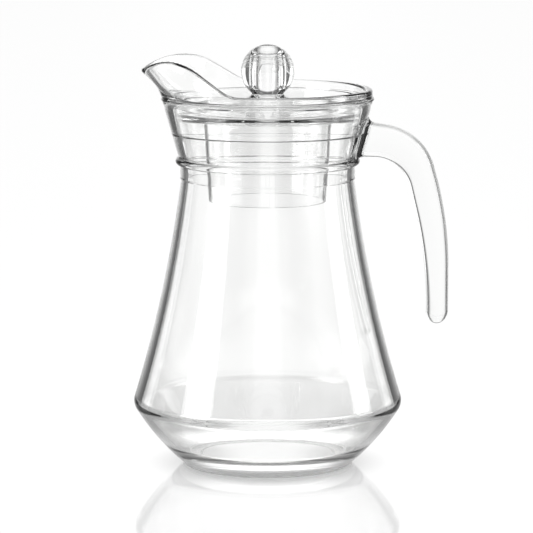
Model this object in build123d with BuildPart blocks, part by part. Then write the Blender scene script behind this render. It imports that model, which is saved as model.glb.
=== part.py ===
"""Glass water jug: pulled spout, applied open handle and a drop-in lid with a hollow ball knob.

Millimetres. +Z is up, the origin is the middle of the foot on the table, the spout points to -X
and the handle to +X.
"""

import os
from math import cos, radians, sin, sqrt, tan

from build123d import *

# Jug outside, from the foot up
foot_radius = 43.2
foot_ring_width = 7.0
foot_rounding = 1.5
punt_depth = 0.8
punt_edge = 1.6
belly_radius = 70.5
belly_height = 32.4
belly_rounding = 7.0
bowl_bulge = 1.7
waist_radius = 44.9
waist_height = 149.6
waist_hollow = 2.6
waist_step = 0.5
band_height = 9.4
bead_half_height = 1.9
bead_depth = 2.4
collar_step = 1.4
collar_height = 37.5
collar_flare = 8.0
rim_band_height = 6.9
rim_step = 0.3
rim_bead_drop = 5.3
rim_bead_radius = 0.8

# Jug inside
wall = 3.8
belly_wall = 4.6
inner_belly_rise = 1.2
inner_belly_rounding = 3.0
floor_thickness = 6.0
floor_overhang = 0.4
floor_rounding = 26.0
inner_bowl_bulge = 1.5
ledge_depth = 22.3
ledge_width = 2.5
collar_wall = 3.5
rim_wall = 4.1
lip_rounding = 1.7

# Spout wave seen from the side: slopes, crest behind the rim's edge, run of the slope, roundings
wave_slope = 33.7
wave_run = 30.7
wave_foot_rounding = 16.8
crest_inset = 7.5
crest_rounding = 28.0
tip_slope = 30.0

# Spout flare, level by level: rise above the rim, reach of the tip beyond it, sharpness of the pull
flare_rises = (0.0, 4.5, 9.5, 17.5)
flare_reaches = (2.7, 6.7, 12.3, 22.2)
flare_pull_powers = (25.0, 35.0, 45.0, 45.0)
flare_inside_ratio = 0.88
lip_angles = (5, 10, 15, 21, 28, 40, 70, 110, 145)

# Handle seen from the side: corners of its outer and inner edge out from the collar and up from
# the bead, and how far from each corner its bend starts
handle_top = 21.4
handle_under = 2.4
outer_shoulder = (34.3, 17.0)
outer_elbow = -29.6
outer_bend_runs = (19.8, 25.0)
inner_shoulder = (24.1, 1.8)
inner_elbow = -49.9
inner_bend_runs = (14.8, 25.0)
handle_reach = 47.65
handle_low = -83.8
handle_end_depth = 11.7
handle_width = 15.0
handle_rounding = 4.8
root_overlap = 3.0
root_flare = 4.0

# Lid
lid_clearance = 0.5
lid_drop = 4.2
lid_wall = 2.0
lid_floor_drop = 6.8
lid_floor_thickness = 2.5
dome_inset = 6.9
dome_thickness = 2.2
hub_drop = 5.7
hub_margin = 0.4
hub_thickness = 4.6
skirt_inset = 11.1
skirt_taper = 2.4
skirt_length = 47.5
skirt_wall = 1.1
slot_count = 4
slot_width = 2.8
slot_length = 23.0
slot_turn = 8.0

# Knob
ball_radius = 13.9
neck_radius = 8.0
neck_height = 3.2
knob_foot_radius = 11.1
knob_foot_edge = 0.8
knob_foot_hollow = 0.6
knob_wall = 1.6
knob_crown = 5.9
bore_rounding = 1.0
spigot_clearance = 0.05

# Most of a wall's or a bar's thickness that the rounding on each side may take
rounding_share = 0.42

# Levels and radii that several pieces share
bead_height = waist_height + band_height
rim_height = bead_height + collar_height
collar_top = rim_height - rim_band_height
ledge_height = rim_height - ledge_depth
collar_base_radius = waist_radius + collar_step
rim_radius = collar_base_radius + collar_flare
mouth_radius = rim_radius - rim_wall
collar_foot = (collar_base_radius, bead_height + bead_half_height)
collar_head = (rim_radius, collar_top)


def between(low, high, height):
    """Radius at a height on the straight line through two (radius, height) points."""
    share = (height - low[1]) / (high[1] - low[1])
    return low[0] + share * (high[0] - low[0])


ledge_radius = between(collar_foot, collar_head, ledge_height) - collar_wall
throat_radius = ledge_radius - ledge_width
lid_top = rim_height - lid_drop
lid_floor = lid_top - lid_floor_drop
dome_radius = throat_radius - dome_inset
hub_radius = knob_foot_radius + hub_margin
hub_top = rim_height - hub_drop
hub_bottom = hub_top - hub_thickness


def mouth_at(height):
    """Inside radius of the mouth above the ledge."""
    return between((ledge_radius, ledge_height), (mouth_radius, rim_height), height)


def lid_wall_at(height):
    """Outside radius of the lid's wall, parallel to the mouth."""
    return mouth_at(height) - lid_clearance


def dome_at(radius):
    """Height of the lid's domed top, level with its floor beyond the dome."""
    return max(lid_floor, between((hub_top, hub_radius), (lid_floor, dome_radius), radius))


def round_corner(corner, radius):
    """Round the corner of the current sketch nearest to a point."""
    fillet(vertices().sort_by_distance(corner)[0], radius)


def in_order(edges):
    """Edges by place, so that each build rounds them in the same order."""
    return edges.sort_by(Axis.Y).sort_by(Axis.Z).sort_by(Axis.X)


def bend_radii(path, runs):
    """Radius of each bend of a path that starts the given run before its corner."""
    corners = [Vector(point) for point in path]
    radii = []
    for before, corner, after, run in zip(corners, corners[1:], corners[2:], runs):
        turn = (corner - before).get_angle(after - corner)
        radii.append(run / tan(radians(turn / 2)))
    return radii


def lip_section(height, radius, reach, pull):
    """Level face: a round outline drawn out by reach to a rounded point at -X."""
    points = []
    for angle in (180, *reversed(lip_angles), 0, *(-angle for angle in lip_angles)):
        turn = radians(angle)
        distance = radius + reach * ((1 + cos(turn)) / 2) ** pull
        points.append((-distance * cos(turn), distance * sin(turn)))
    with BuildSketch(Plane.XY.offset(height)) as section:
        with BuildLine():
            Spline(*points, periodic=True)
        make_face()
    return section.sketch


# Jug: the turned outside, up to the rim band
with BuildPart() as jug_blank:
    with BuildSketch(Plane.XZ):
        with BuildLine():
            foot_inner = foot_radius - foot_ring_width
            band_radius = waist_radius + waist_step
            band_foot = (band_radius, waist_height + waist_step)
            bead_foot = (band_radius, bead_height - bead_half_height)
            Polyline(
                (0, punt_depth),
                (foot_inner - punt_edge, punt_depth),
                (foot_inner, 0),
                (foot_radius, 0),
            )
            SagittaArc((foot_radius, 0), (belly_radius, belly_height), -bowl_bulge)
            SagittaArc((belly_radius, belly_height), (waist_radius, waist_height), waist_hollow)
            Polyline((waist_radius, waist_height), band_foot, bead_foot)
            ThreePointArc(bead_foot, (band_radius + bead_depth, bead_height), collar_foot)
            Polyline(collar_foot, collar_head, (0, collar_top), (0, punt_depth))
        make_face()
        round_corner((foot_radius, 0), foot_rounding)
        round_corner((belly_radius, belly_height), belly_rounding)
    revolve(axis=Axis.Z)

# Jug: rim and spout lofted on the blank, all hollowed, and the lip cut to its wave and rounded
with BuildPart() as jug_body:
    add(jug_blank.part)
    outer_sections = [lip_section(collar_top, rim_radius - rim_step, 0, 1)]
    inner_sections = [lip_section(collar_top, mouth_at(collar_top) + rim_step, 0, 1)]
    for rise, reach, pull in zip(flare_rises, flare_reaches, flare_pull_powers):
        level = rim_height + rise
        outer_sections.append(lip_section(level, rim_radius, reach, pull))
        inner_sections.append(lip_section(level, mouth_radius, reach * flare_inside_ratio, pull))
    loft(sections=outer_sections)
    with BuildSketch(Plane.XZ):
        with Locations((rim_radius, rim_height - rim_bead_drop)):
            Circle(rim_bead_radius)
    revolve(axis=Axis.Z)

    with BuildSketch(Plane.XZ):
        with BuildLine():
            belly_inside = (belly_radius - belly_wall, belly_height + inner_belly_rise)
            waist_inside = (waist_radius - wall, waist_height)
            floor_corner = (foot_radius + floor_overhang, floor_thickness)
            Line((0, floor_thickness), floor_corner)
            SagittaArc(floor_corner, belly_inside, -inner_bowl_bulge)
            SagittaArc(belly_inside, waist_inside, waist_hollow)
            Polyline(
                waist_inside,
                (waist_inside[0], bead_height),
                (throat_radius, ledge_height),
                (ledge_radius, ledge_height),
                (mouth_at(collar_top), collar_top),
                (0, collar_top),
                (0, floor_thickness),
            )
        make_face()
        round_corner(floor_corner, floor_rounding)
        round_corner(belly_inside, inner_belly_rounding)
    revolve(axis=Axis.Z, mode=Mode.SUBTRACT)
    loft(sections=inner_sections, mode=Mode.SUBTRACT)

    far = belly_radius + flare_reaches[-1]
    crest_x = crest_inset - rim_radius
    peak = rim_height + tan(radians(wave_slope)) * wave_run
    tip_fall = tan(radians(tip_slope)) * (far + crest_x)
    with BuildSketch(Plane.XZ.offset(-far)):
        with BuildLine():
            FilletPolyline(
                (far, rim_height),
                (crest_x + wave_run, rim_height),
                (crest_x, peak),
                (-far, peak - tip_fall),
                radius=(wave_foot_rounding, crest_rounding),
            )
            above = rim_height + 2 * flare_rises[-1]
            Polyline((-far, peak - tip_fall), (-far, above), (far, above), (far, rim_height))
        make_face()
    extrude(amount=2 * far, mode=Mode.SUBTRACT)
    cut = jug_body.faces(Select.LAST)
    lip_edges = (cut.filter_by(GeomType.PLANE) + cut.filter_by(GeomType.CYLINDER)).edges()
    rims = in_order(lip_edges - lip_edges.filter_by(Axis.Y))
    fillet(rims, min(lip_rounding, rounding_share * rim_wall))

# Handle bar: flat sides and rounded edges, from inside the collar's wall to its free end
with BuildPart() as handle_bar:
    outer_x = collar_base_radius + handle_reach
    inner_x = outer_x - handle_end_depth
    root_x = collar_base_radius - root_overlap
    low = bead_height + handle_low
    end_height = low + handle_end_depth / 2
    outer_path = (
        (root_x, bead_height + handle_top),
        (collar_base_radius + outer_shoulder[0], bead_height + outer_shoulder[1]),
        (outer_x, bead_height + outer_elbow),
        (outer_x, end_height),
    )
    inner_path = (
        (root_x, bead_height + handle_under),
        (collar_base_radius + inner_shoulder[0], bead_height + inner_shoulder[1]),
        (inner_x, bead_height + inner_elbow),
        (inner_x, end_height),
    )
    with BuildSketch(Plane.XZ.offset(-handle_width / 2)):
        with BuildLine():
            FilletPolyline(*outer_path, radius=bend_radii(outer_path, outer_bend_runs))
            ThreePointArc(outer_path[-1], ((outer_x + inner_x) / 2, low), inner_path[-1])
            FilletPolyline(*inner_path, radius=bend_radii(inner_path, inner_bend_runs))
            Line(inner_path[0], outer_path[0])
        make_face()
    extrude(amount=handle_width)
    side_edges = handle_bar.faces().filter_by(Axis.Y).edges()
    root_edges = side_edges.filter_by(Axis.Z).group_by(Axis.X)[0]
    edge_rounding = min(handle_rounding, rounding_share * min(handle_end_depth, handle_width))
    fillet(in_order(side_edges - root_edges), edge_rounding)

# Handle: the bar flared out where it is fused on the collar, without the collar itself
with BuildPart() as handle:
    with Locations((0, 0, waist_height)):
        Cone(
            between(collar_foot, collar_head, waist_height),
            rim_radius,
            collar_top - waist_height,
            align=(Align.CENTER, Align.CENTER, Align.MIN),
        )
    add(handle_bar.part)
    collar_edges = handle.faces().filter_by(GeomType.CONE).sort_by(SortBy.AREA)[-1].edges()
    plain_edges = collar_edges.filter_by(GeomType.CIRCLE) + collar_edges.filter_by(GeomType.LINE)
    fillet(in_order(collar_edges - plain_edges), root_flare)
    add(jug_blank.part, mode=Mode.SUBTRACT)

# Lid: a wall that stands on the jug's ledge, a floor domed up to the hub, and a slotted skirt
with BuildPart() as lid:
    skirt_radius = throat_radius - skirt_inset
    skirt_bottom = lid_floor - skirt_length
    with BuildSketch(Plane.XZ):
        with BuildLine():
            hub_hole = neck_radius + spigot_clearance
            edge_height = lid_top - lid_wall / 2
            edge_outer = (lid_wall_at(edge_height), edge_height)
            edge_middle = (edge_outer[0] - lid_wall / 2, lid_top)
            edge_inner = (edge_outer[0] - lid_wall, edge_height)
            floor_under = lid_floor - lid_floor_thickness
            wall_foot = lid_wall_at(ledge_height)
            skirt_inner = skirt_radius - skirt_wall
            Polyline(
                (hub_hole, hub_top),
                (hub_radius, hub_top),
                (dome_radius, lid_floor),
                (lid_wall_at(lid_floor) - lid_wall, lid_floor),
                edge_inner,
            )
            ThreePointArc(edge_inner, edge_middle, edge_outer)
            Polyline(
                edge_outer,
                (wall_foot, ledge_height),
                (wall_foot - lid_wall, ledge_height),
                (lid_wall_at(floor_under) - lid_wall, floor_under),
                (skirt_radius, floor_under),
                (skirt_radius - skirt_taper, skirt_bottom),
                (skirt_inner - skirt_taper, skirt_bottom),
                (skirt_inner, dome_at(skirt_inner) - dome_thickness),
                (hub_radius, hub_top - dome_thickness),
                (hub_radius, hub_bottom),
                (hub_hole, hub_bottom),
                (hub_hole, hub_top),
            )
        make_face()
    revolve(axis=Axis.Z)
    with BuildSketch(Plane.YZ):
        with Locations((0, skirt_bottom)):
            SlotOverall(2 * slot_length, slot_width, rotation=90)
    slot = extrude(amount=skirt_radius, mode=Mode.PRIVATE)
    with PolarLocations(0, slot_count, slot_turn):
        add(slot, mode=Mode.SUBTRACT)

# Knob: a hollow ball whose neck goes down through the hub
with BuildPart() as lid_knob:
    with BuildSketch(Plane.XZ):
        with BuildLine():
            neck_top = hub_top + neck_height
            ball_centre = neck_top + sqrt(ball_radius**2 - neck_radius**2)
            ball_top = (0, ball_centre + ball_radius)
            bore_radius = neck_radius - knob_wall
            bore_top = ball_centre + ball_radius - knob_crown
            foot_edge = (knob_foot_radius, hub_top + knob_foot_edge)
            Polyline(
                ball_top,
                (0, bore_top),
                (bore_radius, bore_top),
                (bore_radius, hub_bottom),
                (neck_radius, hub_bottom),
                (neck_radius, hub_top),
                (knob_foot_radius, hub_top),
                foot_edge,
            )
            SagittaArc(foot_edge, (neck_radius, neck_top), knob_foot_hollow)
            ThreePointArc((neck_radius, neck_top), (ball_radius, ball_centre), ball_top)
        make_face()
        round_corner((bore_radius, bore_top), bore_rounding)
    revolve(axis=Axis.Z)

os.makedirs("parts", exist_ok=True)
jug_body.part.label = "jug_body"
handle.part.label = "handle"
lid.part.label = "lid"
lid_knob.part.label = "lid_knob"
for piece in (jug_body, handle, lid, lid_knob):
    export_step(piece.part, f"parts/{piece.part.label}.step")
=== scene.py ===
"""Glass jug with a lift-off lid on a white studio floor, in metres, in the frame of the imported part."""

from math import cos, pi, radians, sin, sqrt, tan

import bmesh
import bpy
import numpy as np
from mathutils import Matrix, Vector


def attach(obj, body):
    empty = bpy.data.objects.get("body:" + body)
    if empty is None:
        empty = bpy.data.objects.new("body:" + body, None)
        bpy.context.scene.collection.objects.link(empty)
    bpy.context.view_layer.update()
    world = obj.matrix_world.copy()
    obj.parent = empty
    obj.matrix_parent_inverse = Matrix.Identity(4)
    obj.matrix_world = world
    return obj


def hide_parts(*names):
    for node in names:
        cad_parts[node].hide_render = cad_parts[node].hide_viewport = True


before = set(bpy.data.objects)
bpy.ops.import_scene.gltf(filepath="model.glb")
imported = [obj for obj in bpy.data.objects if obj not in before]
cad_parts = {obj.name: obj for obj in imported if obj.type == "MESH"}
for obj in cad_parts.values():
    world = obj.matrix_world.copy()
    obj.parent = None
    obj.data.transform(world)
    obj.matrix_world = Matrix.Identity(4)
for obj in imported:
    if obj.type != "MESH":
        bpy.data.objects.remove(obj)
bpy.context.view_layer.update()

MM = 0.001

# Meshes: columns round each piece and most millimetres between rows, how much closer the jug's columns
# stand at the spout, welding distance in metres, and angle in degrees from which an edge is sharp
JUG_COLUMNS, JUG_ROW_SPACING = 512, 2.2
LID_COLUMNS, LID_ROW_SPACING = 320, 2.0
KNOB_COLUMNS, KNOB_ROW_SPACING = 192, 1.5
SPOUT_CROWDING = 0.55
WELD = 2e-7
SHARP_ANGLE = 50

# Jug outside, in millimetres as in the part's source
FOOT_RADIUS = 43.2
FOOT_INNER = 36.2
FOOT_ROUNDING = 1.5
PUNT_DEPTH = 0.8
PUNT_EDGE = 1.6
STIPPLE_HEIGHT = (0.9, 1.2)
BELLY = (70.5, 32.4)
BELLY_ROUNDING = 7.0
BOWL_BULGE = 1.7
WAIST = (44.9, 149.6)
WAIST_SWEEP = 2.6
WAIST_STEP = 0.5
BAND_RADIUS = 45.4
BEAD_HEIGHT = 159.0
BEAD_HALF = 1.9
BEAD_DEPTH = 2.4
COLLAR_FOOT = (46.3, 160.9)
COLLAR_HEAD = (54.3, 189.6)
RIM_RADIUS = 54.3
RIM_HEIGHT = 196.5
RIM_BEAD_HEIGHT = 191.2
RIM_BEAD_RADIUS = 0.8

# Jug inside
FLOOR_HEIGHT = 6.0
FLOOR_RADIUS = 43.6
FLOOR_ROUNDING = 26.0
INNER_BULGE = 1.5
INNER_BELLY = (65.9, 33.6)
INNER_BELLY_ROUNDING = 3.0
NECK_RADIUS = 41.1
LEDGE_HEIGHT = 174.2
LEDGE_RADIUS = 46.51
THROAT_RADIUS = 44.01
MOUTH_RADIUS = 50.2
LIP_ROUNDING = 1.7

# Spout
FLARE_LEVELS = (189.6, 196.5, 201.0, 206.0, 214.0)
FLARE_REACHES = (0.0, 2.7, 6.7, 12.3, 22.2)
FLARE_PULLS = (25.0, 25.0, 35.0, 45.0, 45.0)
FLARE_INSIDE = 0.88
CREST = (-46.8, 216.98)
WAVE_FOOT = -16.1
WAVE_FOOT_ROUNDING = 16.8
CREST_ROUNDING = 28.0
TIP_SLOPE = 30.0
WAVE_END = 90.0

# Handle
HANDLE_OUTER = ((46.3, 180.4), (80.6, 176.0), (93.95, 129.4), (93.95, 81.05))
HANDLE_INNER = ((46.3, 161.4), (70.4, 160.8), (82.25, 109.1), (82.25, 81.05))
HANDLE_OUTER_RUNS = (19.8, 25.0)
HANDLE_INNER_RUNS = (14.8, 25.0)
HANDLE_HALF_WIDTH = 7.5
HANDLE_ROUNDING = 2.8
HANDLE_CROWN = 0.7
ROOT_FLARE = 4.0
ROOT_DEPTHS = (1.9, 1.0)
ROOT_EMBED = 0.15
CAP_LIMIT = 0.9995

# Lid
LID_CLEARANCE = 0.5
LID_TOP = 192.3
LID_WALL = 2.0
LID_FLOOR = 185.5
LID_FLOOR_UNDER = 183.0
DOME_RADIUS = 37.11
DOME_THICKNESS = 2.2
HUB_RADIUS = 11.5
HUB_TOP = 190.8
HUB_BOTTOM = 186.2
HUB_HOLE = 8.05
SKIRT_RADIUS = 32.91
SKIRT_TAPER = 2.4
SKIRT_WALL = 1.1
SKIRT_BOTTOM = 138.0
SLOT_COUNT = 4
SLOT_WIDTH = 2.8
SLOT_LENGTH = 23.0
SLOT_TURN = 8.0
SEAT_GAP = 0.04

# Knob
BALL_RADIUS = 13.9
KNOB_NECK_RADIUS = 8.0
KNOB_NECK_TOP = 194.0
KNOB_FOOT_RADIUS = 11.1
KNOB_FOOT_EDGE = 0.8
KNOB_FOOT_SWEEP = 0.6
KNOB_WALL = 1.6
BORE_RISE = 8.0
BORE_ROUNDING = 1.0

# Clear materials
CLEAR_IOR = 1.5
WAVE_STRENGTH = 0.35
GRAIN_SCALE = 90.0
GRAIN_SPAN = (0.35, 0.75)
DEPTH_COLOUR = (0.8, 0.81, 0.8)

# View of the photograph, in degrees and metres
CAMERA_AZIMUTH = 3.5
CAMERA_ELEVATION = 8.6
CAMERA_TARGET = (-0.0006, 0, 0.1034)
CAMERA_DISTANCE = 1.666
CAMERA_LENS = 216.07
CAMERA_SENSOR = 36.0
LIGHT_BOUNCES = 64

# Panel lights: azimuth and elevation in degrees, distance, width and height in metres, strength
SOFTBOX_TARGET = (0, 0, 0.1)
SOFTBOXES = {
    "softbox_left": (-61.5, 20, 1.3, 0.64, 1.0, 4.0),
    "softbox_right": (94, 20, 1.3, 0.4, 1.0, 4.0),
    "rim_light_left": (-125, 12, 1.3, 0.36, 0.9, 1.1),
    "rim_light_right": (132, 12, 1.3, 0.36, 0.9, 1.1),
}

# Glow of the studio, by degrees away from straight behind the jug: far walls and floor, floor near the
# jug, and floor under it
FAR_GLOW = (
    (0, 1.08), (4, 1.05), (13, 1.02), (20, 0.55), (27, 0.16), (44, 0.1), (55, 0.8), (62, 0.95),
    (122, 0.95), (134, 0.4), (148, 0.2), (162, 0.4), (171, 1.0), (180, 1.0),
)
NEAR_GLOW = (
    (0, 0.8), (14, 0.8), (32, 0.58), (58, 0.36), (110, 0.32), (135, 0.43), (155, 0.72), (180, 0.72),
)
POOL_GLOW = ((0, 1.5), (40, 1.5), (75, 0.7), (110, 0.6), (140, 1.4), (180, 1.5))
POOL_MIDDLE_GLOW = 1.4
DARK_GLOW = 0.12
CEILING_GLOW = 1.0
FLOOR_GLOW = 1.0
# Painted soft shadow round the foot: glow of the floor the camera sees right next to the foot
PAINTED_FOOT_SHADOW = 0.55

# Distances from the axis in metres, and heights in the sky from 0 to 1, over which one glow turns into
# the next
POOL_MIDDLE_REACH = (0.01, 0.034)
POOL_REACH = (0.05, 0.09)
NEAR_REACH = (0.15, 0.3)
# Distances from the axis over which the painted shadow round the foot fades into the full floor glow
PAINTED_FOOT_SHADOW_REACH = (0.036, 0.066)
DARK_RISE = (0.42, 0.48)
CEILING_RISE = (0.74, 0.84)

# Floor sheet, in metres
FLOOR_HALF_SIZE = 9.0
FLOOR_GAP = 0.00005
FLOOR_COLOUR = (0.06, 0.06, 0.06)
FLOOR_POLISH = (0.91, 0.91, 0.91)
FLOOR_POLISH_ROUGHNESS = 0.04
FLOOR_IOR = 1.5


# Curves as arrays of points

def line(start, end, count=2):
    return np.linspace(start, end, count)


def bowed(start, end, sagitta, count=60):
    """Arc whose middle stands off its chord by sagitta, to the left of the way it goes."""
    start, end = np.array(start, float), np.array(end, float)
    chord = end - start
    half = np.linalg.norm(chord) / 2
    radius = (half**2 + sagitta**2) / (2 * abs(sagitta))
    left = np.array((-chord[1], chord[0])) / (2 * half) * np.sign(sagitta)
    centre = (start + end) / 2 + left * (abs(sagitta) - radius)
    spread = np.arcsin(half / radius)
    turns = np.linspace(-spread, spread, count)
    along = chord / (2 * half)
    return centre + radius * (np.outer(np.cos(turns), left) + np.outer(np.sin(turns), along))


def through(start, middle, end, count=24):
    """Arc through three points."""
    a, b, c = (np.array(p, float) for p in (start, middle, end))
    m = 2 * np.array((b - a, c - b))
    centre = np.linalg.solve(m, np.array((b @ b - a @ a, c @ c - b @ b)))
    angles = [np.arctan2(*(p - centre)[::-1]) for p in (a, b, c)]
    angles = np.unwrap(angles)
    turns = np.linspace(angles[0], angles[2], count)
    radius = np.linalg.norm(a - centre)
    return centre + radius * np.column_stack((np.cos(turns), np.sin(turns)))


def lengths(points):
    return np.concatenate(([0], np.cumsum(np.linalg.norm(np.diff(points, axis=0), axis=1))))


def resample(points, count):
    along = lengths(points)
    wanted = np.linspace(0, along[-1], count)
    return np.column_stack([np.interp(wanted, along, column) for column in points.T])


def rounded(before, after, radius, count):
    """Two curves that share a corner, cut back and joined by an arc of that radius."""
    corner = before[-1]
    into = before[-1] - before[-2]
    out = after[1] - after[0]
    side = np.sign(into[0] * out[1] - into[1] * out[0])

    def offset(points):
        way = np.gradient(points, axis=0)
        way /= np.linalg.norm(way, axis=1)[:, None]
        return points + side * radius * np.column_stack((-way[:, 1], way[:, 0]))

    def dense(points):
        return resample(points, 1200)

    a, b = dense(before), dense(after)
    near_a = a[np.linalg.norm(a - corner, axis=1) < 8 * radius]
    near_b = b[np.linalg.norm(b - corner, axis=1) < 8 * radius]
    off_a, off_b = offset(near_a), offset(near_b)
    gaps = np.linalg.norm(off_a[:, None] - off_b[None], axis=2)
    i, j = np.unravel_index(gaps.argmin(), gaps.shape)
    centre = (off_a[i] + off_b[j]) / 2
    first, last = near_a[i], near_b[j]
    start = np.arctan2(*(first - centre)[::-1])
    stop = np.arctan2(*(last - centre)[::-1])
    turn = (stop - start + pi) % (2 * pi) - pi
    turns = start + np.linspace(0, turn, count)
    arc = centre + radius * np.column_stack((np.cos(turns), np.sin(turns)))
    keep_a = before[np.linalg.norm(before - before[0], axis=1) < np.linalg.norm(first - before[0]) - 1e-4]
    keep_b = after[np.linalg.norm(after - after[-1], axis=1) < np.linalg.norm(last - after[-1]) - 1e-4]
    return np.vstack((keep_a, arc[:-1])), np.vstack((arc[-1:], keep_b))


def joined(curves, radii, count=7):
    """Curves end to end, with the corner after each one rounded by its radius, 0 for a smooth join."""
    done = []
    current = curves[0]
    for following, radius in zip(curves[1:], radii):
        if radius:
            head, following = rounded(current, following, radius, max(count, int(radius * 3)))
            done.append(head)
        else:
            done.append(current[:-1])
        current = following
    done.append(current)
    return np.vstack(done)


def with_spacing(points, spacing):
    """The same curve with extra points wherever two neighbours are further apart than spacing."""
    out = [points[:1]]
    for a, b in zip(points, points[1:]):
        steps = max(1, int(np.ceil(np.linalg.norm(b - a) / spacing)))
        out.append(np.linspace(a, b, steps + 1)[1:])
    return np.vstack(out)


def corners(points, radii):
    """A path of straight runs with each inner corner rounded by its radius."""
    runs = [line(a, b) for a, b in zip(points, points[1:])]
    return joined(runs, radii, 14)


# Meshes

def make_piece(name, vertices, faces, body=None, slot=None, *nodes):
    """A mesh object that rides on a body and replaces its nodes.

    Without a body it is only a tool that is joined to a piece or cut out of it.
    """
    mesh = bpy.data.meshes.new(name)
    mesh.from_pydata([tuple(v) for v in vertices], [], faces)
    mesh.validate()
    piece = bpy.data.objects.new(name, mesh)
    bpy.context.scene.collection.objects.link(piece)
    tidy(mesh)
    if body:
        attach(piece, body)
        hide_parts(*nodes)
    return piece


def tidy(mesh):
    """Welds doubled points, turns all faces outwards and shades the mesh smooth up to its sharp edges."""
    work = bmesh.new()
    work.from_mesh(mesh)
    bmesh.ops.remove_doubles(work, verts=work.verts, dist=WELD)
    bmesh.ops.dissolve_degenerate(work, edges=work.edges, dist=1e-8)
    bmesh.ops.recalc_face_normals(work, faces=work.faces)
    work.to_mesh(mesh)
    work.free()
    mesh.shade_smooth()
    mesh.set_sharp_from_angle(angle=radians(SHARP_ANGLE))


def turned_grid(columns):
    """Vertices and faces of a grid of columns that closes on itself, its first and last row on the axis."""
    count, rows, _ = columns.shape
    vertices = columns.reshape(-1, 3) * MM
    faces = []
    for i in range(count):
        a, b = i * rows, (i + 1) % count * rows
        faces.append((a, b + 1, a + 1))
        for k in range(1, rows - 2):
            faces.append((a + k, b + k, b + k + 1, a + k + 1))
        faces.append((a + rows - 2, b + rows - 2, a + rows - 1))
    return vertices, faces


def ring_grid(columns):
    """Vertices and faces of a grid of columns that closes on itself both ways."""
    count, rows, _ = columns.shape
    vertices = columns.reshape(-1, 3) * MM
    faces = []
    for i in range(count):
        a, b = i * rows, (i + 1) % count * rows
        for k in range(rows):
            n = (k + 1) % rows
            faces.append((a + k, b + k, b + n, a + n))
    return vertices, faces


def turned(profile, count):
    """Columns of a profile of radii and heights turned round the axis."""
    angles = np.linspace(0, 2 * pi, count, endpoint=False)
    radius, height = profile[:, 0], profile[:, 1]
    return np.stack(
        [np.column_stack((radius * cos(a), radius * sin(a), height)) for a in angles]
    )


def combine(piece, others, operation):
    """Joins the other meshes to a piece, or cuts them out of it, and deletes them."""
    for other in others:
        change = piece.modifiers.new("join", "BOOLEAN")
        change.operation = operation
        change.solver = "MANIFOLD"
        change.object = other
    shown = bpy.context.evaluated_depsgraph_get()
    result = bpy.data.meshes.new_from_object(piece.evaluated_get(shown))
    piece.modifiers.clear()
    old = piece.data
    piece.data = result
    bpy.data.meshes.remove(old)
    result.name = piece.name
    for other in others:
        bpy.data.objects.remove(other)
    tidy(result)


# Jug

def mouth_at(height):
    """Inside radius of the mouth above the ledge."""
    return np.interp(height, (LEDGE_HEIGHT, RIM_HEIGHT), (LEDGE_RADIUS, MOUTH_RADIUS))


def smooth_between(levels, values, wanted):
    """Natural cubic curve through values at levels, one curve per column of values."""
    steps = np.diff(levels)
    count = len(levels)
    system = np.eye(count)
    right = np.zeros_like(values)
    for k in range(1, count - 1):
        system[k, k - 1 : k + 2] = steps[k - 1], 2 * (steps[k - 1] + steps[k]), steps[k]
        rise = (values[k + 1] - values[k]) / steps[k] - (values[k] - values[k - 1]) / steps[k - 1]
        right[k] = 6 * rise
    bend = np.linalg.solve(system, right)
    k = np.clip(np.searchsorted(levels, wanted) - 1, 0, count - 2)
    left, step = np.take(levels, k), np.take(steps, k)
    b = (wanted - left) / step
    a = 1 - b
    columns = np.arange(values.shape[1])
    low, high = values[k, columns], values[k + 1, columns]
    bend_low, bend_high = bend[k, columns], bend[k + 1, columns]
    return a * low + b * high + ((a**3 - a) * bend_low + (b**3 - b) * bend_high) * step**2 / 6


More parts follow.
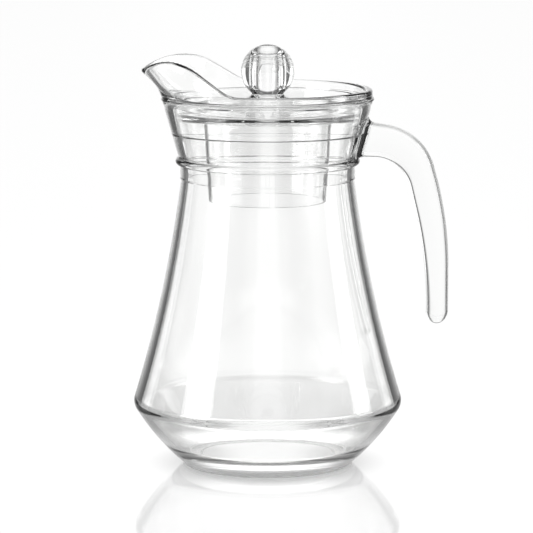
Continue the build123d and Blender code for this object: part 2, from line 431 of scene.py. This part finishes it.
def jug_columns(count):
    """Columns of the jug from the middle of its underside over the lip to the middle of its floor.

    They stand closer together towards the spout.
    """
    even = np.linspace(-pi, pi, count, endpoint=False)
    turn = even - SPOUT_CROWDING * np.sin(even)
    pulled = (1 + np.cos(turn)) / 2
    levels = np.array(FLARE_LEVELS)
    flare = np.array([reach * pulled**pull for reach, pull in zip(FLARE_REACHES, FLARE_PULLS)])
    outer_values = RIM_RADIUS + flare
    inner_values = np.array([[mouth_at(level)] for level in FLARE_LEVELS]) + FLARE_INSIDE * flare

    wave = corners(
        (
            (WAVE_END, RIM_HEIGHT),
            (WAVE_FOOT, RIM_HEIGHT),
            CREST,
            (-WAVE_END, CREST[1] - tan(radians(TIP_SLOPE)) * (WAVE_END + CREST[0])),
        ),
        (WAVE_FOOT_ROUNDING, CREST_ROUNDING),
    )[::-1]

    def top_of(values):
        height = np.full(count, RIM_HEIGHT)
        for _ in range(40):
            reach = smooth_between(levels, values, height)
            height = 0.5 * height + 0.5 * np.interp(-reach * np.cos(turn), wave[:, 0], wave[:, 1])
        return height

    outer_top, inner_top = top_of(outer_values), top_of(inner_values)

    def outer_at(height):
        reach = smooth_between(levels, outer_values, height)
        bead = RIM_BEAD_RADIUS**2 - (height - RIM_BEAD_HEIGHT) ** 2
        return np.maximum(reach, np.where(bead > 0, RIM_RADIUS + np.sqrt(np.maximum(bead, 0)), 0))

    def inner_at(height):
        return smooth_between(levels, inner_values, height)

    punt_corner = (FOOT_INNER - PUNT_EDGE, PUNT_DEPTH)
    band_foot = (BAND_RADIUS, WAIST[1] + WAIST_STEP)
    bead_foot = (BAND_RADIUS, BEAD_HEIGHT - BEAD_HALF)
    outside = joined(
        (
            line((0, PUNT_DEPTH), punt_corner),
            line(punt_corner, (FOOT_INNER, 0)),
            line((FOOT_INNER, 0), (FOOT_RADIUS, 0)),
            bowed((FOOT_RADIUS, 0), BELLY, -BOWL_BULGE),
            bowed(BELLY, WAIST, WAIST_SWEEP),
            line(WAIST, band_foot),
            line(band_foot, bead_foot),
            through(bead_foot, (BAND_RADIUS + BEAD_DEPTH, BEAD_HEIGHT), COLLAR_FOOT),
            line(COLLAR_FOOT, COLLAR_HEAD),
        ),
        (0.5, 0.5, FOOT_ROUNDING, BELLY_ROUNDING, 0.25, 0.25, 0.5, 0.7),
    )
    inside = joined(
        (
            line((mouth_at(COLLAR_HEAD[1]), COLLAR_HEAD[1]), (LEDGE_RADIUS, LEDGE_HEIGHT)),
            line((LEDGE_RADIUS, LEDGE_HEIGHT), (THROAT_RADIUS, LEDGE_HEIGHT)),
            line((THROAT_RADIUS, LEDGE_HEIGHT), (NECK_RADIUS, BEAD_HEIGHT)),
            line((NECK_RADIUS, BEAD_HEIGHT), (NECK_RADIUS, WAIST[1])),
            bowed((NECK_RADIUS, WAIST[1]), INNER_BELLY, -WAIST_SWEEP),
            bowed(INNER_BELLY, (FLOOR_RADIUS, FLOOR_HEIGHT), INNER_BULGE),
            line((FLOOR_RADIUS, FLOOR_HEIGHT), (0, FLOOR_HEIGHT)),
        ),
        (0.4, 0.7, 3.0, 3.0, INNER_BELLY_ROUNDING, FLOOR_ROUNDING),
    )
    outside = with_spacing(outside, JUG_ROW_SPACING)
    inside = with_spacing(inside, JUG_ROW_SPACING)

    bottom = COLLAR_HEAD[1]
    rows = []
    for radius, height in outside:
        rows.append((np.full(count, radius), np.full(count, height)))
    bead_low, bead_high = RIM_BEAD_HEIGHT - RIM_BEAD_RADIUS, RIM_BEAD_HEIGHT + RIM_BEAD_RADIUS
    below_bead = np.linspace(bottom + 0.15, bead_low - 0.1, 4)
    for height in np.concatenate((below_bead, np.linspace(bead_low, bead_high, 13))):
        level = np.full(count, height)
        rows.append((outer_at(level), level))
    for share in np.linspace(0, 1, 26)[1:]:
        above_bead = bead_high + 0.15
        level = above_bead + share * (outer_top - LIP_ROUNDING - above_bead)
        rows.append((outer_at(level), level))

    outer_corner = np.array((outer_at(outer_top), outer_top))
    inner_corner = np.array((inner_at(inner_top), inner_top))
    across = inner_corner - outer_corner
    width = np.linalg.norm(across, axis=0)
    across = across / width
    leg = np.minimum(LIP_ROUNDING, 0.48 * width)
    outer_start = np.array((outer_at(outer_top - LIP_ROUNDING), outer_top - LIP_ROUNDING))
    inner_end = np.array((inner_at(inner_top - LIP_ROUNDING), inner_top - LIP_ROUNDING))

    def bend(start, corner, end, shares):
        for share in shares:
            weights = ((1 - share) ** 2, 2 * share * (1 - share) * sqrt(0.5), share**2)
            point = (weights[0] * start + weights[1] * corner + weights[2] * end) / sum(weights)
            rows.append((point[0], point[1]))

    bend(outer_start, outer_corner, outer_corner + across * leg, np.linspace(0, 1, 9)[1:])
    bend(inner_corner - across * leg, inner_corner, inner_end, np.linspace(0, 1, 9))
    for share in np.linspace(0, 1, 26)[1:-1]:
        level = inner_top - LIP_ROUNDING + share * (bottom - inner_top + LIP_ROUNDING)
        rows.append((inner_at(level), level))
    for radius, height in inside:
        rows.append((np.full(count, radius), np.full(count, height)))

    radius = np.array([row[0] for row in rows]).T
    height = np.array([row[1] for row in rows]).T
    return np.stack((-radius * np.cos(turn)[:, None], radius * np.sin(turn)[:, None], height), axis=2)


def bend_radii(path, runs):
    """Radii of the bends at a path's corners, each from the run that it takes off both sides."""
    radii = []
    for before, corner, after, run in zip(path, path[1:], path[2:], runs):
        a = Vector(corner) - Vector(before)
        b = Vector(after) - Vector(corner)
        radii.append(run / tan(a.angle(b) / 2))
    return radii


def collar_radius(height):
    """Outside radius of the collar."""
    (low_radius, low), (high_radius, high) = COLLAR_FOOT, COLLAR_HEAD
    return low_radius + (height - low) / (high - low) * (high_radius - low_radius)


def handle_ring(outer, inner, swell, sink, cap=0.0):
    """Points round the bar between a point of its outer and one of its inner edge.

    swell widens it all round, sink moves its sides back round the collar, and cap is how far into
    its rounded end it lies, as the sine of the turn.
    """
    outer, inner = np.array(outer, float), np.array(inner, float)
    middle = (outer + inner) / 2
    half = np.linalg.norm(outer - inner) / 2
    up = (outer - inner) / (2 * half)
    flat = HANDLE_HALF_WIDTH - HANDLE_ROUNDING
    rounding = HANDLE_ROUNDING + swell
    half = half + swell
    steps = 12
    inset_limit = min(rounding, half * (1 - cap)) if cap else rounding
    crown = min(HANDLE_CROWN, 0.25 * inset_limit)
    reach = np.arccos(np.clip(1 - (inset_limit - crown) / (rounding - crown), -1, 1))
    turns = np.linspace(0, reach, steps)
    side = flat + rounding * np.sin(turns)
    inset = crown + (rounding - crown) * (1 - np.cos(turns))
    crest = np.linspace(-flat, flat, 17)[1:-1]
    side = np.concatenate((-side[::-1], crest, side))
    inset = np.concatenate((inset[::-1], crown * (crest / flat) ** 2, inset))
    if cap:
        depth = np.sqrt(np.maximum((half - inset) ** 2 - (half * cap) ** 2, 0))
        middle = middle + np.array((0, -half * cap))
    else:
        depth = half - inset
    points = []
    for sign, order in ((1, slice(None)), (-1, slice(None, None, -1))):
        for y, d in zip(side[order], depth[order]):
            x, z = middle + sign * up * d
            ring = collar_radius(z)
            back = sink * (ring - sqrt(ring**2 - y**2)) if sink else 0
            points.append((x - back, y, z))
    return points


def handle_stations():
    """Rings of points along the handle, from inside the collar to its rounded end."""
    outer = corners(HANDLE_OUTER, bend_radii(HANDLE_OUTER, HANDLE_OUTER_RUNS))
    inner = corners(HANDLE_INNER, bend_radii(HANDLE_INNER, HANDLE_INNER_RUNS))
    dense_outer, dense_inner = resample(outer, 3000), resample(inner, 3000)

    def off_collar(points):
        return points[:, 0] - collar_radius(points[:, 1])

    outer_start = np.searchsorted(off_collar(dense_outer[:1200]), 0.0)
    inner_start = np.searchsorted(off_collar(dense_inner[:1200]), 0.0)
    outer, inner = dense_outer[outer_start:], dense_inner[inner_start:]
    way_outer = outer[1] - outer[0]
    way_inner = inner[1] - inner[0]
    way_outer, way_inner = (w / np.linalg.norm(w) for w in (way_outer, way_inner))
    rings = []
    for depth in ROOT_DEPTHS:
        rings.append(handle_ring(outer[0] - depth * way_outer, inner[0] - depth * way_inner, ROOT_FLARE, 1.0))
    near = ROOT_FLARE * (1 - np.cos(np.linspace(0, pi / 2, 14)))
    for gap in near:
        swell = ROOT_FLARE - sqrt(max(0, ROOT_FLARE**2 - (ROOT_FLARE - gap) ** 2))
        a = outer[0] + (gap - ROOT_EMBED) * way_outer
        b = inner[0] + (gap - ROOT_EMBED) * way_inner
        rings.append(handle_ring(a, b, swell, 1.0))
    first = ROOT_FLARE - ROOT_EMBED

    def point_at(edge, share):
        along = lengths(edge)
        return edge[int(np.interp(first + share * (along[-1] - first), along, np.arange(len(edge))))]

    for share in np.linspace(0, 1, 110)[1:]:
        rings.append(handle_ring(point_at(outer, share), point_at(inner, share), 0, max(0, 1 - share * 10)))
    for turn in np.linspace(0, pi / 2, 16)[1:]:
        rings.append(handle_ring(outer[-1], inner[-1], 0, 0, min(sin(turn), CAP_LIMIT)))
    return np.array(rings)


def build_handle():
    """The handle's bar as a closed mesh, to be joined to the jug."""
    rings = handle_stations()
    count, around, _ = rings.shape
    vertices = rings.reshape(-1, 3) * MM
    faces = []
    for i in range(count - 1):
        for k in range(around):
            n = (k + 1) % around
            faces.append((i * around + k, i * around + n, (i + 1) * around + n, (i + 1) * around + k))
    faces.append(tuple(range(around)))
    faces.append(tuple(reversed(range((count - 1) * around, count * around))))
    return make_piece("handle_bar", vertices, faces)


jug = make_piece("jug_glass", *turned_grid(jug_columns(JUG_COLUMNS)), "jug", "jug_glass", "jug_body", "handle")
combine(jug, [build_handle()], "UNION")


# Lid and knob

def lid_wall_at(height):
    """Outside radius of the lid's wall, parallel to the mouth."""
    return mouth_at(height) - LID_CLEARANCE


def lid_profile():
    """Closed outline of the lid's section, from the hub's hole over the wall's edge and the skirt and back."""
    edge = LID_TOP - LID_WALL / 2
    edge_outer = (lid_wall_at(edge), edge)
    edge_inner = (edge_outer[0] - LID_WALL, edge)
    edge_top = (edge_outer[0] - LID_WALL / 2, LID_TOP)
    foot = LEDGE_HEIGHT + SEAT_GAP
    wall_foot = lid_wall_at(foot)
    skirt_inner = SKIRT_RADIUS - SKIRT_WALL
    slope = (HUB_TOP - LID_FLOOR) / (DOME_RADIUS - HUB_RADIUS)
    dome_under = HUB_TOP - slope * (skirt_inner - HUB_RADIUS) - DOME_THICKNESS
    path = (
        (HUB_HOLE, HUB_TOP),
        (HUB_RADIUS, HUB_TOP),
        (DOME_RADIUS, LID_FLOOR),
        (lid_wall_at(LID_FLOOR) - LID_WALL, LID_FLOOR),
        edge_inner,
    )
    under = (
        edge_outer,
        (wall_foot, foot),
        (wall_foot - LID_WALL, foot),
        (lid_wall_at(LID_FLOOR_UNDER) - LID_WALL, LID_FLOOR_UNDER),
        (SKIRT_RADIUS, LID_FLOOR_UNDER),
        (SKIRT_RADIUS - SKIRT_TAPER, SKIRT_BOTTOM),
        (skirt_inner - SKIRT_TAPER, SKIRT_BOTTOM),
        (skirt_inner, dome_under),
        (HUB_RADIUS, HUB_TOP - DOME_THICKNESS),
        (HUB_RADIUS, HUB_BOTTOM),
        (HUB_HOLE, HUB_BOTTOM),
        (HUB_HOLE, HUB_TOP),
    )
    top = corners(path, (0.5, 6.0, 1.2))
    edge_arc = through(edge_inner, edge_top, edge_outer, 17)
    below = corners(under, (0.35, 0.35, 0.6, 0.8, 0.6, 0.6, 1.0, 0.6, 0.4, 0.2))
    profile = np.vstack((top[:-1], edge_arc, below[1:-1]))
    return with_spacing(profile, LID_ROW_SPACING)


lid = make_piece("clear_lid", *ring_grid(turned(lid_profile(), LID_COLUMNS)), "lid", "lid_plastic", "lid")


def slot_cutter(turn):
    """A rounded slot's prism across one side of the skirt."""
    half = SLOT_WIDTH / 2
    top = SKIRT_BOTTOM + SLOT_LENGTH - half
    arc = [(half * cos(a), top + half * sin(a)) for a in np.linspace(0, pi, 15)]
    outline = [(half, SKIRT_BOTTOM - 3), *arc, (-half, SKIRT_BOTTOM - 3)]
    count = len(outline)
    vertices = []
    for depth in (SKIRT_RADIUS - 8, SKIRT_RADIUS + 3):
        for across, height in outline:
            x = depth * cos(turn) - across * sin(turn)
            y = depth * sin(turn) + across * cos(turn)
            vertices.append(Vector((x, y, height)) * MM)
    faces = [tuple(range(count)), tuple(reversed(range(count, 2 * count)))]
    for k in range(count):
        n = (k + 1) % count
        faces.append((k, n, count + n, count + k))
    return make_piece("slot_cutter", vertices, faces)


cutters = [slot_cutter(radians(SLOT_TURN + 360 / SLOT_COUNT * k)) for k in range(SLOT_COUNT)]
combine(lid, cutters, "DIFFERENCE")


def knob_profile():
    """Closed outline of the knob's section, from the end of its neck over the ball and down the bore."""
    foot = HUB_TOP + SEAT_GAP
    centre = KNOB_NECK_TOP + sqrt(BALL_RADIUS**2 - KNOB_NECK_RADIUS**2)
    bore = KNOB_NECK_RADIUS - KNOB_WALL
    start = np.arctan2(KNOB_NECK_TOP - centre, KNOB_NECK_RADIUS)
    ball = [(BALL_RADIUS * cos(a), centre + BALL_RADIUS * sin(a)) for a in np.linspace(start, pi / 2, 80)]
    bore_top = centre + BORE_RISE
    foot_edge = (KNOB_FOOT_RADIUS, HUB_TOP + KNOB_FOOT_EDGE)
    outside = joined(
        (
            line((bore, HUB_BOTTOM), (KNOB_NECK_RADIUS, HUB_BOTTOM)),
            line((KNOB_NECK_RADIUS, HUB_BOTTOM), (KNOB_NECK_RADIUS, foot)),
            line((KNOB_NECK_RADIUS, foot), (KNOB_FOOT_RADIUS, foot)),
            line((KNOB_FOOT_RADIUS, foot), foot_edge),
            bowed(foot_edge, (KNOB_NECK_RADIUS, KNOB_NECK_TOP), KNOB_FOOT_SWEEP, 16),
            np.array(ball),
        ),
        (0.3, 0.1, 0.2, 0.2, 0.8),
    )
    inside = corners(((0, bore_top), (bore, bore_top), (bore, HUB_BOTTOM)), (BORE_ROUNDING,))
    return with_spacing(np.vstack((outside, inside[:-1])), KNOB_ROW_SPACING)


knob_columns = turned(knob_profile(), KNOB_COLUMNS)
knob = make_piece("ball_knob", *ring_grid(knob_columns), "lid", "lid_plastic", "lid_knob")


# Materials

def faded(nodes, links, value, span, before, after):
    """Goes smoothly from one number to another while a value crosses a span."""
    spread = nodes.new("ShaderNodeMapRange")
    spread.interpolation_type = "SMOOTHSTEP"
    spread.inputs["From Min"].default_value, spread.inputs["From Max"].default_value = span
    links.new(value, spread.inputs["Value"])
    mixed = nodes.new("ShaderNodeMix")
    links.new(spread.outputs["Result"], mixed.inputs["Factor"])
    for side, source in (("A", before), ("B", after)):
        if isinstance(source, float):
            mixed.inputs[side].default_value = source
        else:
            links.new(source, mixed.inputs[side])
    return mixed.outputs["Result"]


def clear_material(name, tint, wave_scale, wave_height, haze, stipple, density):
    """Clear moulded material, faintly grey in its depth, with slow waves and a faint haze from the mould.

    stipple is the roughness of the underside, where the piece stands on the table.
    """
    material = bpy.data.materials.new(name)
    material.use_nodes = True
    nodes = material.node_tree.nodes
    links = material.node_tree.links
    shader = nodes["Principled BSDF"]
    shader.inputs["Base Color"].default_value = (*tint, 1)
    shader.inputs["Transmission Weight"].default_value = 1.0
    shader.inputs["IOR"].default_value = CLEAR_IOR
    place = nodes.new("ShaderNodeTexCoord")
    waves = nodes.new("ShaderNodeTexNoise")
    waves.inputs["Scale"].default_value = wave_scale
    waves.inputs["Detail"].default_value = 2.0
    links.new(place.outputs["Object"], waves.inputs["Vector"])
    bump = nodes.new("ShaderNodeBump")
    bump.inputs["Strength"].default_value = WAVE_STRENGTH
    bump.inputs["Distance"].default_value = wave_height
    links.new(waves.outputs["Fac"], bump.inputs["Height"])
    links.new(bump.outputs["Normal"], shader.inputs["Normal"])
    grain = nodes.new("ShaderNodeTexNoise")
    grain.inputs["Scale"].default_value = GRAIN_SCALE
    grain.inputs["Detail"].default_value = 5.0
    links.new(place.outputs["Object"], grain.inputs["Vector"])
    spread = nodes.new("ShaderNodeMapRange")
    spread.inputs["From Min"].default_value, spread.inputs["From Max"].default_value = GRAIN_SPAN
    spread.inputs["To Min"].default_value = 0.0
    spread.inputs["To Max"].default_value = haze
    links.new(grain.outputs["Fac"], spread.inputs["Value"])
    height = nodes.new("ShaderNodeSeparateXYZ")
    links.new(place.outputs["Object"], height.inputs["Vector"])
    stipple_span = [level * MM for level in STIPPLE_HEIGHT]
    roughness = faded(nodes, links, height.outputs["Z"], stipple_span, stipple, spread.outputs["Result"])
    links.new(roughness, shader.inputs["Roughness"])
    depth = nodes.new("ShaderNodeVolumeAbsorption")
    depth.inputs["Color"].default_value = (*DEPTH_COLOUR, 1)
    depth.inputs["Density"].default_value = density
    links.new(depth.outputs["Volume"], nodes["Material Output"].inputs["Volume"])
    return material


glass = clear_material(
    "pressed_glass",
    (0.995, 0.996, 0.994),
    wave_scale=40.0,
    wave_height=0.00012,
    haze=0.015,
    stipple=0.5,
    density=16.0,
)
plastic = clear_material(
    "clear_plastic",
    (0.995, 0.995, 0.995),
    wave_scale=60.0,
    wave_height=0.00006,
    haze=0.02,
    stipple=0.02,
    density=12.0,
)
for piece, material in ((jug, glass), (lid, plastic), (knob, plastic)):
    piece.data.materials.clear()
    piece.data.materials.append(material)


# Studio

def studio_glow(nodes, links, place, stops):
    """Brightness of the studio by direction round the jug, in degrees away from straight behind it."""
    turned_place = nodes.new("ShaderNodeVectorRotate")
    turned_place.rotation_type = "Z_AXIS"
    turned_place.inputs["Angle"].default_value = -radians(CAMERA_AZIMUTH)
    links.new(place, turned_place.inputs["Vector"])
    split = nodes.new("ShaderNodeSeparateXYZ")
    links.new(turned_place.outputs["Vector"], split.inputs["Vector"])
    turn = nodes.new("ShaderNodeMath")
    turn.operation = "ARCTAN2"
    links.new(split.outputs["X"], turn.inputs[0])
    links.new(split.outputs["Y"], turn.inputs[1])
    away = nodes.new("ShaderNodeMath")
    away.operation = "ABSOLUTE"
    links.new(turn.outputs["Value"], away.inputs[0])
    share = nodes.new("ShaderNodeMath")
    share.operation = "DIVIDE"
    links.new(away.outputs["Value"], share.inputs[0])
    share.inputs[1].default_value = pi
    ramp = nodes.new("ShaderNodeValToRGB")
    ramp.color_ramp.interpolation = "EASE"
    marks = ramp.color_ramp.elements
    while len(marks) < len(stops):
        marks.new(0.5)
    for mark, (degrees_away, glow) in zip(marks, stops):
        mark.position = degrees_away / 180
        mark.color = (glow, glow, glow, 1)
    links.new(share.outputs["Value"], ramp.inputs["Fac"])
    return ramp.outputs["Color"]


def floor_material():
    """Polished white sheet, with a painted soft shadow round the foot.

    The camera sees it evenly lit, and the glass sees the light and dark sides of the studio.
    """
    material = bpy.data.materials.new("white_sheet")
    material.use_nodes = True
    nodes = material.node_tree.nodes
    links = material.node_tree.links
    nodes.clear()
    output = nodes.new("ShaderNodeOutputMaterial")
    place = nodes.new("ShaderNodeTexCoord")
    distance = nodes.new("ShaderNodeVectorMath")
    distance.operation = "LENGTH"
    links.new(place.outputs["Object"], distance.inputs[0])
    reach = distance.outputs["Value"]
    near, far, under = (
        studio_glow(nodes, links, place.outputs["Object"], stops) for stops in (NEAR_GLOW, FAR_GLOW, POOL_GLOW)
    )
    lit_ring = faded(nodes, links, reach, NEAR_REACH, near, far)
    middle = faded(nodes, links, reach, POOL_MIDDLE_REACH, POOL_MIDDLE_GLOW, under)
    pool = faded(nodes, links, reach, POOL_REACH, middle, lit_ring)
    # Painted shadow: the floor the camera sees is darker next to the foot, by distance from the axis
    camera_glow_with_painted_shadow = faded(nodes, links, reach, PAINTED_FOOT_SHADOW_REACH, PAINTED_FOOT_SHADOW, FLOOR_GLOW)
    path = nodes.new("ShaderNodeLightPath")
    seen = nodes.new("ShaderNodeMix")
    links.new(path.outputs["Is Camera Ray"], seen.inputs["Factor"])
    links.new(pool, seen.inputs["A"])
    links.new(camera_glow_with_painted_shadow, seen.inputs["B"])
    light = nodes.new("ShaderNodeEmission")
    links.new(seen.outputs["Result"], light.inputs["Strength"])
    paper = nodes.new("ShaderNodeBsdfDiffuse")
    paper.inputs["Color"].default_value = (*FLOOR_COLOUR, 1)
    lit = nodes.new("ShaderNodeAddShader")
    links.new(light.outputs["Emission"], lit.inputs[0])
    links.new(paper.outputs["BSDF"], lit.inputs[1])
    gloss = nodes.new("ShaderNodeBsdfGlossy")
    gloss.inputs["Color"].default_value = (*FLOOR_POLISH, 1)
    gloss.inputs["Roughness"].default_value = FLOOR_POLISH_ROUGHNESS
    polish = nodes.new("ShaderNodeFresnel")
    polish.inputs["IOR"].default_value = FLOOR_IOR
    mixed = nodes.new("ShaderNodeMixShader")
    links.new(polish.outputs["Fac"], mixed.inputs["Fac"])
    links.new(lit.outputs["Shader"], mixed.inputs[1])
    links.new(gloss.outputs["BSDF"], mixed.inputs[2])
    links.new(mixed.outputs["Shader"], output.inputs["Surface"])
    return material


def build_floor():
    mesh = bpy.data.meshes.new("studio_floor")
    half = FLOOR_HALF_SIZE
    corner_points = [(-half, -half, 0), (half, -half, 0), (half, half, 0), (-half, half, 0)]
    mesh.from_pydata(corner_points, [], [(0, 1, 2, 3)])
    floor = bpy.data.objects.new("studio_floor", mesh)
    floor.location.z = -FLOOR_GAP
    bpy.context.scene.collection.objects.link(floor)
    mesh.materials.append(floor_material())


def direction(azimuth, elevation):
    """Unit vector from the jug towards where a view is seen from, in degrees."""
    a, e = radians(azimuth), radians(elevation)
    return Vector((sin(a) * cos(e), -cos(a) * cos(e), sin(e)))


def softbox(name, azimuth, elevation, distance, width, height, strength):
    """A panel light that faces the jug from a direction, azimuth counted as for the views."""
    away = direction(azimuth, elevation)
    data = bpy.data.lights.new(name, "AREA")
    data.shape = "RECTANGLE"
    data.size = width
    data.size_y = height
    data.energy = strength * width * height * pi
    light = bpy.data.objects.new(name, data)
    light.location = Vector(SOFTBOX_TARGET) + away * distance
    light.rotation_mode = "QUATERNION"
    light.rotation_quaternion = (-away).to_track_quat("-Z", "Y")
    bpy.context.scene.collection.objects.link(light)


def build_world():
    """Studio room: low bright walls with dark gaps between them, dark above, and a white ceiling."""
    world = bpy.data.worlds.new("studio")
    bpy.context.scene.world = world
    world.use_nodes = True
    nodes = world.node_tree.nodes
    links = world.node_tree.links
    background = nodes["Background"]
    background.inputs["Color"].default_value = (1, 1, 1, 1)
    place = nodes.new("ShaderNodeTexCoord")
    height = nodes.new("ShaderNodeSeparateXYZ")
    links.new(place.outputs["Generated"], height.inputs["Vector"])
    rise = height.outputs["Z"]
    walls = studio_glow(nodes, links, place.outputs["Generated"], FAR_GLOW)
    dark_walls = faded(nodes, links, rise, DARK_RISE, walls, DARK_GLOW)
    links.new(faded(nodes, links, rise, CEILING_RISE, dark_walls, CEILING_GLOW), background.inputs["Strength"])


def build_camera():
    data = bpy.data.cameras.new("camera")
    data.sensor_width = CAMERA_SENSOR
    data.lens = CAMERA_LENS
    camera = bpy.data.objects.new("camera", data)
    back = direction(CAMERA_AZIMUTH, CAMERA_ELEVATION)
    camera.location = Vector(CAMERA_TARGET) + back * CAMERA_DISTANCE
    camera.rotation_mode = "QUATERNION"
    camera.rotation_quaternion = (-back).to_track_quat("-Z", "Y")
    bpy.context.scene.collection.objects.link(camera)
    bpy.context.scene.camera = camera


build_floor()
build_world()
for light_name, setting in SOFTBOXES.items():
    softbox(light_name, *setting)
build_camera()
bpy.context.scene.view_settings.view_transform = "Standard"
bpy.context.scene.cycles.max_bounces = LIGHT_BOUNCES
bpy.context.scene.cycles.transmission_bounces = LIGHT_BOUNCES
